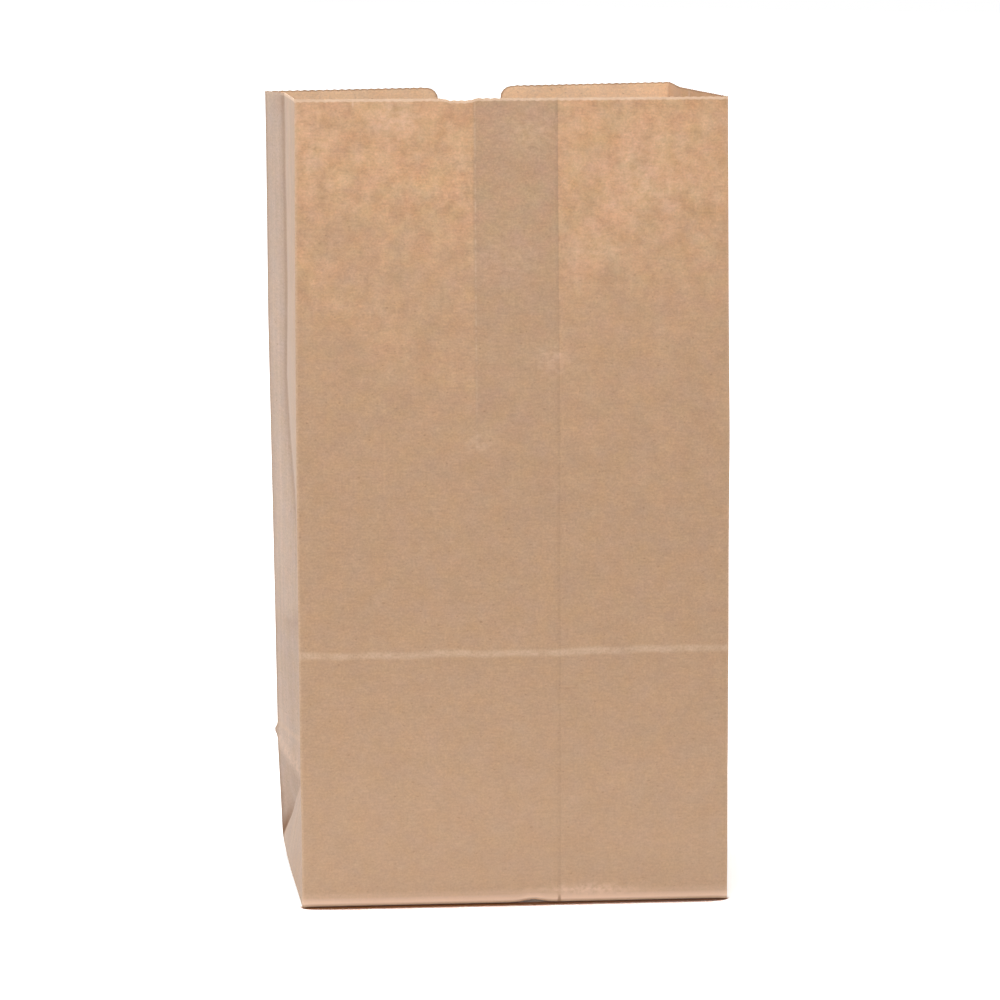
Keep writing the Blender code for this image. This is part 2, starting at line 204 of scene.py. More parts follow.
class PaperBagStudio(bpy.types.PropertyGroup):
    """Light and camera."""

    ambient: amount("Ambient", "Level of the white surroundings", 0.3, min=0.0)
    top: amount("Top", "Power of the soft light overhead", 17.0, min=0.0)
    key: amount("Key", "Power of the soft light at the left", 11.5, min=0.0)
    mouth: amount("Mouth", "Power of the small light over the mouth", 1.5, min=0.0)
    fill: amount("Fill", "Power of the soft light in front", 18.0, min=0.0)
    lens: amount("Lens", "Focal length", 147.1, min=1.0, subtype="DISTANCE_CAMERA")
    distance: length("Camera distance", "From the aim point", 1.474, most=10.0)


# The sheet's points


def joined(marks, most):
    """The sorted marks with evenly spaced values added between them."""
    values = []
    marks = sorted(marks)
    for start, end in zip(marks, marks[1:]):
        count = max(1, math.ceil((end - start) / most - TINY))
        values += [start + (end - start) * i / count for i in range(count)]
    return values + [marks[-1]]


def ramp(value):
    return np.clip(value, 0.0, 1.0)


def ease(value):
    value = ramp(value)
    return value * value * (3 - 2 * value)


def tent(value):
    return np.maximum(0.0, 1 - np.abs(value))


def bell(value):
    return np.exp(-value * value)


def vectors(*axes):
    return np.stack(np.broadcast_arrays(*axes), axis=-1)


def fold_marks(s):
    """Distances from an upright fold to half a gusset, close together beside the folds."""
    half = s.gusset_width / 2
    free = s.gusset_width - s.flap_length
    return joined([0, 0.0005, 0.0012, 0.0024, free, half - 0.0012, half - 0.0005, half], s.facet)


def panel_marks(s):
    """Places across the front and back panels, from the left fold to the right fold."""
    near = fold_marks(s)
    far = [s.panel_width - value for value in reversed(near)]
    middle = s.panel_width / 2
    seam = [middle + s.seam_right - s.seam_overlap, middle + s.seam_right]
    marks = [near[-1], s.flap_length, s.panel_width - s.flap_length, far[0]]
    marks += [middle - s.notch_width / 2, middle + s.notch_width / 2]
    marks += seam + [value + 0.00015 for value in seam]
    return near[:-1] + joined(marks, s.facet) + far[1:]


def gusset_marks(s):
    near = fold_marks(s)
    return near + [s.gusset_width - value for value in reversed(near[:-1])]


def rim_line(s, x, depth):
    """Height of the cut, without teeth, at x from the middle. depth is 0 at the front and 1 at the back."""
    skew = s.rim_skew + (s.rim_skew_back - s.rim_skew) * depth
    return s.bag_height + skew * x / s.panel_width


def notch_drop(s, x):
    """How far the thumb notch cuts below the rim: a rounded shoulder on each side of a bowl."""
    start = s.notch_width / 2
    bowl = start - s.notch_shoulder
    turn = ramp((start - np.abs(x)) / s.notch_shoulder)
    drop = s.notch_shoulder * (1 - np.sqrt(1 - turn ** 2))
    reach = ramp(np.abs(x) / bowl)
    return drop + (s.notch_depth - s.notch_shoulder) * (1 - reach ** BOWL_POWER) ** (1 / BOWL_POWER)


def rim_teeth(places, level, depth):
    """Rim heights at the places: teeth alternate between places that stand far enough apart."""
    nodes = [0]
    for i in range(1, len(places) - 1):
        if places[i] - places[nodes[-1]] > TOOTH_PITCH and places[-1] - places[i] > LAST_TOOTH:
            nodes.append(i)
    nodes.append(len(places) - 1)
    tips = [depth * (i % 2) for i in range(len(nodes))]
    tips[-1] = 0.0
    return level + np.interp(places, [places[i] for i in nodes], tips)


def gusset_tuck(s, height):
    apex = s.gusset_width / 2
    eased = ramp((s.tuck_eased - height) / (s.tuck_eased - apex))
    return s.tuck_mouth + (s.tuck_low - s.tuck_mouth) * eased


def back_offset(s, height):
    """How far the back wall stands right of the front wall at this height."""
    pull = 0.55 * ramp(1 - height / 0.038) + 0.2 * ramp(1 - height / 0.0045) ** 2
    return s.back_skew * ramp(1 - height / 0.2) + s.corner_pull * pull


def corner_rise(s, inset, depth, height):
    """How far the curled back corners lift the paper. depth runs from 0 at the front to 1 at the back."""
    near = ramp(1 - inset / 0.045) ** 2 * ramp(2 * depth - 1) ** 2
    return s.corner_lift * near * ramp(1 - height / 0.12)


def panel_size(s, panel):
    return s.panel_width if panel in PANELS else s.gusset_width


def from_side(width, along):
    """Distance to the nearer one of the two ends of a width."""
    return np.minimum(along, width - along)


def crease_height(s, across):
    return s.front_crease + s.crease_skew * (across / s.panel_width - 0.5)


def base_level(s):
    """Height of the base folds above the surface that the bag stands on."""
    return 2 * s.paper + s.fold_rise


def front_spread(height):
    """How far the front right fold is pushed out, most above the base and a little at half height."""
    return np.interp(height, SPREAD_HEIGHTS, SPREAD)


def upright_fold(s, side, face, height):
    """The fold between a panel and a gusset, as x, y and z. side is -1 left, face is -1 front."""
    share = height / s.bag_height
    half = s.gusset_width / 2
    tuck = gusset_tuck(s, height) * ramp(height / half)
    bow = s.edge_bow * np.sin(math.pi * ramp(share))
    if side < 0 < face:
        bow = bow - 0.0011 * np.sin(math.pi * ramp(share)) ** 0.7
    x = side * (s.panel_width / 2 + bow) + s.base_shift + (s.mouth_shift_x - s.base_shift) * share
    if face < 0:
        x = x + (front_spread(height) if side > 0 else -0.0003 * ramp(1 - height / 0.03))
    y = face * np.sqrt(half ** 2 - tuck ** 2) + s.mouth_shift_y * share
    z = base_level(s) + height
    if face > 0:
        x = x + back_offset(s, height)
        y = y + side * s.mouth_twist * share
    return vectors(x, y, z)


def panel_point(s, face, across, height):
    """A point of the front or back panel. across runs from 0 at the left to the panel's width."""
    share = across / s.panel_width
    left = upright_fold(s, -1, face, height)
    right = upright_fold(s, 1, face, height)
    point = left + (right - left) * share[..., None]
    up = np.sin(math.pi * ramp(height / s.bag_height))
    bow = s.panel_bow * np.sin(math.pi * share) * up
    half = s.gusset_width / 2
    if face > 0:
        rise = 0.001 * tent((height - half) / half)
        inset = from_side(s.panel_width, across)
        point[..., 2] += corner_rise(s, inset, 1.0, height)
    else:
        rise = 0.0005 * tent((height - crease_height(s, across)) / 0.03)
    point[..., 1] += face * (bow + rise)
    return point


def valley_place(side, height):
    """Where the gusset bends in most, as a share of its width from the front fold."""
    return 0.5 + (0.3 if side < 0 else 0.12) * ease((height - 0.06) / 0.12)


def bend_along(s, panel, height):
    """The same place on a gusset panel, as a length from the front fold."""
    return valley_place(OUTWARD[panel], height) * s.gusset_width


def blended_least(first, second, rounding):
    """The smaller of two values, with the corner between them rounded."""
    share = ramp(0.5 + 0.5 * (second - first) / rounding)
    return second + (first - second) * share - rounding * share * (1 - share)


def gusset_point(s, side, along, height):
    """A point of a gusset. along runs from 0 at the front fold to the gusset's width at the back fold."""
    share = along / s.gusset_width
    edge = np.full_like(along, s.panel_width * (side + 1) / 2)
    front = panel_point(s, -1, edge, height)
    back = panel_point(s, 1, edge, height)
    point = front + (back - front) * share[..., None]
    bend = valley_place(side, height)
    rounding = 0.001 + 0.12 * ease((height - 0.055) / 0.03)
    depth = blended_least(share / bend, (1 - share) / (1 - bend), rounding)
    depth = np.minimum(depth, height / (s.gusset_width / 2))
    more = (0.003 if side < 0 else 0.0015) * ease((height - 0.06) / 0.15)
    point[..., 0] -= side * (gusset_tuck(s, height) + more) * depth
    point[..., 2] = base_level(s) + height + corner_rise(s, 0.0, share, height)
    return point


def base_point(s, across, along):
    """A point of the folded bottom, from the left end and from the front edge."""
    share = along / s.gusset_width
    x = across - s.panel_width / 2 + s.base_shift + back_offset(s, 0.0) * share
    x = x + front_spread(0.0) * (across / s.panel_width) * (1 - share)
    y = along - s.gusset_width / 2
    inset = from_side(s.panel_width, across)
    near = np.minimum(inset, from_side(s.gusset_width, along))
    z = 2 * s.paper + s.fold_rise * (1 - ease(near / 0.007)) - low_lip(near)
    z = z + corner_rise(s, inset, share, 0.0)
    free = ease(inset / 0.004)
    y = y + foot_turn(along, 0.008) * free - foot_turn(s.gusset_width - along, 0.008) * free
    return vectors(x, y, z)


def foot_turn(height, reach=0.0036):
    """How far the wall turns in at the rounded base fold."""
    return 0.001 * ramp(1 - height / reach) ** 1.8


def low_lip(near):
    """How far the very edge of the base fold hangs below the fold's own level."""
    return 0.0009 * ramp(1 - near / 0.0016)


class SheetMesh:
    """The folded sheet: blocks of points, and blocks of faces with the values that their corners keep."""

    def __init__(self, sizes):
        self.sizes = sizes
        self.points = []
        self.faces = []

    def add_points(self, points):
        first = sum(len(block) for block in self.points)
        self.points.append(points.reshape(-1, 3))
        return first

    def add_faces(self, corners, fields):
        """corners has the point numbers, one face a row. fields has an array of that shape for each value."""
        self.faces.append((corners, fields))


def wall_rows(s):
    """Heights of the walls' rows below the stretch, and shares of the stretch up to the rim above it."""
    half = s.gusset_width / 2
    crease = s.front_crease
    marks = [half, half + 0.0006, half + 0.0014, crease - 0.0012, crease, crease + 0.0012, STRETCH_START]
    low = fold_marks(s)[:-1] + joined(marks, ROW_STEP)
    top = s.bag_height - STRETCH_START
    shares = joined([0] + [1 - value / top for value in RIM_ROWS], ROW_STEP / top)
    return np.array(low), np.array(shares[1:])


def panel_rim(s, panel, places):
    """Rim heights of a panel at these places, and the places themselves drawn to the notch at the rim."""
    places = np.array(places)
    middle = s.panel_width / 2
    if panel in GUSSETS:
        line = rim_line(s, OUTWARD[panel] * middle, places / s.gusset_width)
        return rim_teeth(places, line, s.tooth_depth), places
    x = places - middle
    heights = rim_teeth(places, rim_line(s, x, float(panel == BACK)), s.tooth_depth)
    if panel == FRONT:
        worn = ease((x + 0.0245) / 0.0018) * ease((-0.0138 - x) / 0.0012)
        return heights - 0.0007 * worn, places
    reach = s.notch_width / 2
    inside = np.abs(x) < reach + TINY
    fine = np.linspace(-reach, reach, NOTCH_STEPS)
    drop = notch_drop(s, fine)
    run = np.concatenate([[0], np.cumsum(np.hypot(np.diff(fine), np.diff(drop)))])
    steps = np.linspace(0, run[-1], inside.sum())
    drawn = x.copy()
    drawn[inside] = np.interp(steps, run, fine)
    ragged = soft_noise(vectors(drawn, 0.0, 0.0), 0.0022, 2)
    cut = rim_line(s, drawn, 1) - notch_drop(s, drawn)
    cut = cut - 0.0004 * ragged * ramp((reach - np.abs(drawn)) / 0.002)
    return np.where(inside, cut, heights), drawn + middle


def beyond(value):
    """A distance that rules a place out where the value is above nothing."""
    return 10 * np.maximum(0, value)


def nearest_line(points, line):
    """Distance from each point (a row) to a line of points."""
    start, end = line[:-1], line[1:]
    step = end - start
    offset = points[:, None, :] - start[None]
    share = np.clip((offset * step).sum(-1) / (step * step).sum(-1), 0, 1)
    return np.linalg.norm(offset - step * share[..., None], axis=-1).min(axis=1)


def soft_noise(points, scale, seed):
    """Smooth noise between -1 and 1 at each point, with bumps about one scale wide."""
    shift = Vector((seed * 7.3, seed * 3.1, seed * 5.7))
    return np.array([noise.noise(Vector(point) / scale + shift) for point in points])


def panel_fold_distance(s, panel, along, height):
    """Distance to the nearest fold or crease of a wall panel."""
    half = s.gusset_width / 2
    inset = from_side(panel_size(s, panel), along)
    near = np.minimum(inset, height)
    if panel == FRONT:
        return near
    if panel == BACK:
        return np.minimum(near, np.abs(height - half))
    diagonal = np.abs(inset - height) / math.sqrt(2) + beyond(height - half)
    middle = np.abs(along - half) + beyond(half - height)
    level = np.abs(height - half) + beyond(half - along)
    return np.minimum.reduce([near, diagonal, middle, level])


def valley_distance(s, panel, along, height):
    """Distance to the crease that runs up the middle of a gusset and points into the bag."""
    if panel in PANELS:
        return np.full(along.shape, FAR)
    return np.abs(along - bend_along(s, panel, height)) + beyond(s.gusset_width / 2 - height)


def gusset_shade(s, panel, along, height):
    """Painted shade on a gusset: its back lower facet, back corner and fold, an old crease and the bend."""
    if panel in PANELS:
        return np.zeros(along.shape)
    inset = s.gusset_width - along
    above = ramp((height - inset) / 0.0012)
    corner = 0.95 * bell((height - inset) / 0.006) * ease((0.014 - inset) / 0.009) * above
    facet = 0.2 * above * ease((0.041 - height - 0.22 * inset) / 0.006) * ease((0.046 - inset) / 0.02)
    line = height - 0.0845 - 0.2 * inset
    old = 0.22 * bell(line / 0.0018) + 0.08 * ease(-line / 0.001) * ease((height - 0.05) / 0.01)
    fold = 0.45 * bell(inset / 0.0022)
    bend = bend_along(s, panel, height)
    behind = ease((along - bend + 0.0018) / 0.003) * ease((height - 0.06) / 0.05)
    hollow = (0.3 * bell((along - bend - 0.0008) / 0.0026) + 0.1 * bell((along - bend) / 0.009)) * behind
    hollow = hollow + 0.06 * ease((bend - along) / 0.002) * ease((height - 0.12) / 0.05)
    top = ease((height - s.bag_height + 0.02) / 0.018)
    hollow = hollow + 0.14 * top * bell((along - bend) / 0.011) * behind
    return np.clip(corner + facet + old + fold + hollow, 0, 1)


def slant_edge(x):
    """Height of the soft ridge that falls to the right across the front."""
    return 0.214 - 0.75 * (x + 0.064) + 2.4 * (x + 0.064) ** 2


def patches(table, x, height):
    """The sum of a table's patches at these places of the front."""
    total = 0.0
    for across, level, wide, tall, strength in table:
        total = total + strength * bell((x - across) / wide) * bell((height - level) / tall)
    return total


def painted_highlight_marks(s, panel, x, height):
    """Painted highlights on the front panel, pale spots and a streak, and a painted highlight band across the
    left gusset's lower part.
    """
    if panel == LEFT:
        inset = s.gusset_width - s.panel_width / 2 - x
        return 0.36 * bell((height - 0.0405 + 0.22 * inset) / 0.0026) * ease((0.034 - inset) / 0.01)
    if panel != FRONT:
        return np.zeros(x.shape)
    streak = 0.25 * bell((x + 0.013) / 0.0045) * bell((height - 0.1635 + 0.25 * (x + 0.013)) / 0.0016)
    return streak + patches(SHINE, x, height)


def light_behind(x, height):
    """How much light shines through the front's paper: most near the mouth, with a slanting lower edge."""
    level = np.interp(height, GLOW_HEIGHTS, GLOW)
    ridge = 0.28 * bell((height - slant_edge(x)) / 0.0075) * ease((0.03 - x) / 0.05)
    stripe = 0.22 * bell((height - 0.231 - 1.05 * (x - 0.028)) / 0.011) * bell((x - 0.03) / 0.02)
    return np.clip(level + ridge + stripe + patches(GLOW_SPOTS, x, height), 0, 1)


def gusset_glow(s, panel, along, height):
    """The same for a gusset, where the light reaches the paper in front of the bend."""
    return 0.3 * ease((height - 0.17) / 0.06) * ramp(1 - (along - bend_along(s, panel, height)) / 0.003)


def wall_grid(s, panel):
    """Place along the wall panel and height of each of its points, by column and row."""
    low, shares = wall_rows(s)
    places = np.array(panel_marks(s) if panel in PANELS else gusset_marks(s))
    rim, drawn = panel_rim(s, panel, places)
    height_low = np.broadcast_to(low, (len(places), len(low)))
    height_top = STRETCH_START + (rim - STRETCH_START)[:, None] * shares
    pull = np.concatenate([np.zeros(len(low)), shares])
    along = places[:, None] + (drawn - places)[:, None] * ease(pull)
    return along, np.concatenate([height_low, height_top], axis=1)


def wall_fields(s, panel, along, height):
    """The values that the corners of a wall panel's faces keep."""
    runs = along if panel in (FRONT, RIGHT) else panel_size(s, panel) - along
    start = sum(panel_size(s, before) for before in range(panel))
    flat = vectors(along, height)
    rim = np.full(along.shape, FAR)
    top = height > s.bag_height - FAR
    rim[top] = np.minimum(nearest_line(flat[top], flat[:, -1]), FAR)
    x = along - s.panel_width / 2
    none = np.zeros(along.shape)
    held = {
        "sheet": vectors(start + runs, height, 0.0),
        "rim": rim,
        "fold": np.minimum(panel_fold_distance(s, panel, along, height), FAR),
        "valley": np.minimum(valley_distance(s, panel, along, height), FAR),
        "soil": gusset_shade(s, panel, along, height),
        "rubbed": painted_highlight_marks(s, panel, x, height),
        "glow": none,
        "double": none,
        "side": none + (panel in GUSSETS),
        "out": none,
        "in": none + s.paper,
    }
    if panel in GUSSETS:
        held["glow"] = gusset_glow(s, panel, along, height)
    if panel == FRONT:
        outer_end = s.seam_right + TINY
        inner_end = s.seam_right - s.seam_overlap
        held["glow"] = light_behind(x, height)
        held["double"] = ((x > inner_end - TINY) & (x < outer_end)).astype(float)
        held["out"] = np.where(x < outer_end, s.paper * ramp((x + s.panel_width / 2) / 0.04), 0.0)
        held["in"] = np.where(x < inner_end + TINY, s.paper - held["out"], s.paper)
    return held


def cell_corners(value, turned=False):
    """The values at the four corners of each cell of a grid, as a third axis. turned reverses their order."""
    around = [value[:-1, :-1], value[1:, :-1], value[1:, 1:], value[:-1, 1:]]
    return np.stack(around[:1] + around[:0:-1] if turned else around, axis=2)


# The two ways to split a face of four corners
FALLING = ((0, 1, 2), (0, 2, 3))
RISING = ((0, 1, 3), (1, 2, 3))


def add_walls(sheet):
    """The four walls as one ring of columns: back panel right to left, left gusset back to front."""
    s = sheet.sizes
    columns = []
    fields = []
    for panel in range(4):
        along, height = wall_grid(s, panel)
        if panel in (BACK, LEFT):
            along, height = along[::-1], height[::-1]
        flat_wall = panel_point if panel in PANELS else gusset_point
        points = soften(s, panel, flat_wall(s, OUTWARD[panel], along, height), along, height)
        fields.append(wall_fields(s, panel, along, height))
        columns.append(points[:-1])
    ring = np.concatenate(columns)
    first = sheet.add_points(ring)
    total, rows = ring.shape[:2]
    column = 0
    half = s.gusset_width / 2
    for panel, held in enumerate(fields):
        count = len(held["rim"])
        index = first + ((column + np.arange(count)) % total)[:, None] * rows + np.arange(rows)
        quads = cell_corners(index)
        corner = {name: cell_corners(value) for name, value in held.items()}
        split = np.zeros(quads.shape[:2], bool)
        if panel in GUSSETS:
            split = corner["sheet"][..., 1].max(axis=2) < half + TINY
        sheet.add_faces(quads[~split], {name: value[~split] for name, value in corner.items()})
        if panel in GUSSETS:
            middle = corner["sheet"][..., 0].mean(axis=2) - corner["sheet"][0, 0, 0, 0]
            for chosen, order in ((middle < half, FALLING), (middle >= half, RISING)):
                mask = split & chosen
                for three in order:
                    picked = {name: value[mask][:, list(three)] for name, value in corner.items()}
                    sheet.add_faces(quads[mask][:, list(three)], picked)
        column += count - 1
    return first, rows, total


def buckle(x):
    """The small arch where the seam's plies part at the front base fold."""
    return 0.001 * bell((x - 0.006) / 0.0042)


def soften(s, panel, points, along, height):
    """Soft waves and small marks of handling that the folds keep out of."""
    width = panel_size(s, panel)
    inset = from_side(width, along)
    reach = 0.018 if panel in PANELS else 0.012
    if panel in GUSSETS:
        inset = np.minimum(inset, np.abs(along - width / 2) + 0.004)
    hold = ease(inset / reach) * ease(height / 0.02)
    flat = vectors(along, height, panel * 1.7).reshape(-1, 3)
    wave = 0.00035 * soft_noise(flat, 0.055, 3) + 0.00012 * soft_noise(flat, 0.017, 5)
    wave = wave.reshape(along.shape) * hold
    if panel == FRONT:
        x = along - s.panel_width / 2
        crease = bell((height - crease_height(s, along) - 0.0004 * np.sin(x * 90)) / 0.0012)
        wave += 0.00016 * crease * ease(inset / 0.004)
        wave += 0.0003 * bell((height - slant_edge(x)) / 0.006) * ease((0.03 - x) / 0.05) * hold
        points[..., 2] += buckle(x) * ramp(1 - height / 0.006)
    axis = 1 if panel in PANELS else 0
    sign = OUTWARD[panel]
    points[..., axis] += sign * wave
    if panel in PANELS:
        points[..., 1] -= sign * foot_turn(height) * ease(inset / 0.004)
    points[..., 2] -= low_lip(height)
    if panel in (BACK, LEFT):
        spur = bell((height - s.gusset_width / 2 + 0.003) / 0.0011)
        edge = along if panel == BACK else width - along
        points[..., 0] -= 0.0019 * spur * ramp(1 - edge / 0.004)
    if panel == LEFT:
        dent = bell(np.hypot(along - 0.079, (height - 0.0165) * 1.3) / 0.009)
        points[..., 0] += 0.0022 * dent * ramp(inset / 0.004) * ramp((height - (width - along)) / 0.003)
        band = bell((height - 0.0405 + 0.22 * (width - along)) / 0.0035) * ramp(inset / 0.004)
        points[..., 0] -= 0.0006 * band * ramp(1 - np.abs(along - 0.074) / 0.02)
    lip = ramp(1 - (height[:, -1:] - height) / 0.004)
    ripple = 0.0002 * soft_noise(flat, 0.006, 9).reshape(along.shape)
    points[..., axis] += sign * ripple * lip * ramp(inset / 0.003)
    return points


def add_base(sheet, first, rows, total):
    """The folded bottom: a grid that shares its border with the walls' lowest points."""
    s = sheet.sizes
    across = np.array(panel_marks(s))
    along = np.array(gusset_marks(s))
    wide, deep = len(across), len(along)
    grid_x, grid_y = np.meshgrid(across, along, indexing="ij")
    points = base_point(s, grid_x, grid_y)
    points[..., 2] += buckle(grid_x - s.panel_width / 2) * ramp(1 - grid_y / 0.006)
    numbers = np.full((wide, deep), -1)
    ring = first + np.arange(total) * rows
    numbers[:, 0] = ring[:wide]
    numbers[-1, :] = ring[wide - 1:wide - 1 + deep]
    numbers[:, -1] = ring[wide + deep - 2:2 * wide + deep - 2][::-1]
    numbers[0, 1:-1] = ring[2 * wide + deep - 2:][::-1]
    inner = numbers < 0
    numbers[inner] = sheet.add_points(points[inner]) + np.arange(inner.sum())
    inset = from_side(s.panel_width, grid_x)
    from_front, from_back = grid_y, s.gusset_width - grid_y
    front = (inset > from_front + TINY) & (from_front < s.flap_length + TINY)
    back = (inset > from_back + TINY) & (from_back < s.flap_length + TINY)
    side = inset < s.flap_length - TINY
    slant = np.minimum(np.abs(inset - from_front), np.abs(inset - from_back)) / math.sqrt(2)
    slant = slant + beyond(np.minimum(from_front, from_back) - s.flap_length)
    free = np.minimum(np.abs(from_front - s.flap_length), np.abs(from_back - s.flap_length))
    free = free + beyond(s.flap_length - inset)
    held = {name: np.zeros(grid_x.shape) for name in ("soil", "rubbed", "glow", "side")}
    held["sheet"] = vectors(grid_x, -grid_y, 0.0)
    held["rim"] = np.full(grid_x.shape, FAR)
    held["fold"] = np.minimum.reduce([slant, free, inset, from_front, from_back, held["rim"]])
    held["valley"] = held["rim"]
    held["double"] = np.ones(grid_x.shape)
    held["out"] = s.paper * (front * 1.0 + back * 1.0)
    held["in"] = s.paper * side * (1 + (inset > from_front) + (inset > from_back))
    corner = {name: cell_corners(value, turned=True) for name, value in held.items()}
    sheet.add_faces(cell_corners(numbers, turned=True).reshape(-1, 4), {
        name: value.reshape((-1, 4) + value.shape[3:]) for name, value in corner.items()
    })


def round_folds(points, faces, weight, times):
    """Draws points toward their neighbours where the weight is set, which rounds the folds."""
    pairs = [np.stack([block, np.roll(block, -1, axis=1)], axis=-1).reshape(-1, 2) for block in faces]
    pairs = np.unique(np.sort(np.concatenate(pairs), axis=1), axis=0)
    count = np.bincount(pairs.ravel(), minlength=len(points))[:, None]
    for _ in range(times):
        total = np.zeros_like(points)
        np.add.at(total, pairs[:, 0], points[pairs[:, 1]])
        np.add.at(total, pairs[:, 1], points[pairs[:, 0]])
        points += weight[:, None] * (total / count - points)
    return points


def point_normals(points, faces):
    normals = np.zeros_like(points)
    for block in faces:
        a, b, c = (points[block[:, i]] for i in (0, 1, -1))
        cross = np.cross(b - a, c - a)
        if block.shape[1] == 4:
            cross = np.cross(points[block[:, 2]] - a, points[block[:, 3]] - points[block[:, 1]])
        for i in range(block.shape[1]):
            np.add.at(normals, block[:, i], cross)
    return normals / np.linalg.norm(normals, axis=1, keepdims=True)


def paper_bag_mesh(s, name):
    """Both faces of the folded sheet and its cut edge, as one closed mesh."""
    sheet = SheetMesh(s)
    first, rows, total = add_walls(sheet)
    add_base(sheet, first, rows, total)
    points = np.concatenate(sheet.points)
    fold = np.full(len(points), 1.0)
    out = np.zeros(len(points))
    inward = np.zeros(len(points))
    for block, fields in sheet.faces:
        np.minimum.at(fold, block.ravel(), fields["fold"].ravel())
        np.maximum.at(out, block.ravel(), fields["out"].ravel())
        np.maximum.at(inward, block.ravel(), fields["in"].ravel())
    rim_numbers = first + np.arange(total) * rows + rows - 1
    weight = FOLD_PULL * np.exp(-(fold / FOLD_REACH) ** 2)
    weight[rim_numbers] = 0.0
    faces = [block for block, _ in sheet.faces]
    points = round_folds(points, faces, weight, FOLD_ROUNDS)
    normals = point_normals(points, faces)
    count = len(points)
    inner = points - normals * np.maximum(inward, LEAST_PLY)[:, None]
    all_points = np.concatenate([points + normals * out[:, None], inner])
    polygons = []
    blank = ("rim", "soil", "rubbed", "glow", "double", "side")
    corners = {key: [] for key in ("sheet", *blank, "fold", "valley", "within")}
    for block, fields in sheet.faces:
        polygons += [block, block[:, ::-1] + count]
        inside = {**fields, "valley": np.full(block.shape, FAR), "within": np.ones(block.shape)}
        inside = {key: value[:, ::-1] for key, value in inside.items()}
        for face in ({**fields, "within": np.zeros(block.shape)}, inside):
            for key, kept in corners.items():
                kept.append(face[key].reshape(-1, *face[key].shape[2:]))
    around = np.roll(rim_numbers, -1)
    strip = np.stack([around, rim_numbers, rim_numbers + count, around + count], axis=-1)
    polygons.append(strip)
    corners["sheet"].append(np.repeat(all_points[rim_numbers], 4, axis=0))
    for key in blank:
        corners[key].append(np.zeros(strip.size))
    wide, deep = len(panel_marks(s)) - 1, len(gusset_marks(s)) - 1
    back_half = (np.arange(total) >= wide) & (np.arange(total) < 2 * wide + deep)
    corners["within"].append(np.repeat(back_half.astype(float), 4))
    for key in ("fold", "valley"):
        corners[key].append(np.full(strip.size, FAR))
    mesh = bpy.data.meshes.new(name)
    mesh.from_pydata(all_points.tolist(), [], [row for block in polygons for row in block.tolist()])
    for key, blocks in corners.items():
        values = np.concatenate(blocks).astype(np.float32)
        kind = "FLOAT_VECTOR" if key == "sheet" else "FLOAT"
        field = mesh.attributes.new(key, kind, "CORNER")
        field.data.foreach_set("vector" if key == "sheet" else "value", values.ravel())
    mesh.validate()
    mesh.shade_smooth()
    mesh.set_sharp_from_angle(angle=SHARP_ANGLE)
    return mesh


# Materials


class NodeDesk:
    """Short calls for building the nodes of a material or world."""

    def __init__(self, owner):
        owner.use_nodes = True
        self.tree = owner.node_tree

    def put(self, kind, **settings):
        node = self.tree.nodes.new(kind)
        for key, value in settings.items():
            setattr(node, key, value)
        return node

    def feed(self, node, socket, value):
        target = node.inputs[socket]
        if isinstance(value, bpy.types.NodeSocket):
            self.tree.links.new(value, target)
        else:
            target.default_value = value

    def value(self, name):
        return self.put("ShaderNodeAttribute", attribute_name=name).outputs["Fac"]

    def math(self, operation, first, second=0.0, clamp=False):
        node = self.put("ShaderNodeMath", operation=operation, use_clamp=clamp)
        self.feed(node, 0, first)
        self.feed(node, 1, second)
        return node.outputs[0]

    def span(self, value, low, high, start=0.0, end=1.0, smooth=False):
        node = self.put("ShaderNodeMapRange", interpolation_type="SMOOTHSTEP" if smooth else "LINEAR")
        for socket, given in ((0, value), (1, low), (2, high), (3, start), (4, end)):
            self.feed(node, socket, given)
        return node.outputs[0]

    def fade(self, value, low, high, start=1.0, smooth=False):
        """Falls from start to nothing between low and high."""
        return self.span(value, low, high, start, 0.0, smooth)

    def times(self, first, *others):
        for other in others:
            first = self.math("MULTIPLY", first, other)
        return first

    def plus(self, first, second, clamp=False):
        return self.math("ADD", first, second, clamp)

    def minus(self, first, second):
        return self.math("SUBTRACT", first, second)

    def gap(self, first, second):
        return self.math("ABSOLUTE", self.minus(first, second))

    def parts(self, vector):
        node = self.put("ShaderNodeSeparateXYZ")
        self.feed(node, 0, vector)
        return node.outputs

    def seen(self):
        """1 for the rays of the camera, of reflections and of light let through, else 0."""
        path = self.put("ShaderNodeLightPath")
        seen = self.math("MAXIMUM", path.outputs["Is Camera Ray"], path.outputs["Is Glossy Ray"])
        return self.math("MAXIMUM", seen, path.outputs["Is Transmission Ray"])

    def grain(self, vector, scale, detail=2.0, roughness=0.5):
        """Noise of one scale, or of a scale across and one up the sheet."""
        if isinstance(scale, tuple):
            stretched = self.put("ShaderNodeVectorMath", operation="MULTIPLY")
            self.feed(stretched, 0, vector)
            self.feed(stretched, 1, (*scale, 1.0))
            vector, scale = stretched.outputs[0], 1.0
        node = self.put("ShaderNodeTexNoise")
        self.feed(node, "Vector", vector)
        self.feed(node, "Scale", scale)
        self.feed(node, "Detail", detail)
        self.feed(node, "Roughness", roughness)
        return node.outputs["Fac"]

    def over(self, base, tone, *shares):
        """Lays a colour of three values over the base, by the product of the shares."""
        return self.mix(self.times(*shares), base, (*tone, 1.0))

    def mix(self, share, first, second, blend="MIX"):
        node = self.put("ShaderNodeMix", data_type="RGBA", blend_type=blend)
        self.feed(node, 0, share)
        self.feed(node, 6, first)
        self.feed(node, 7, second)
        return node.outputs[2]


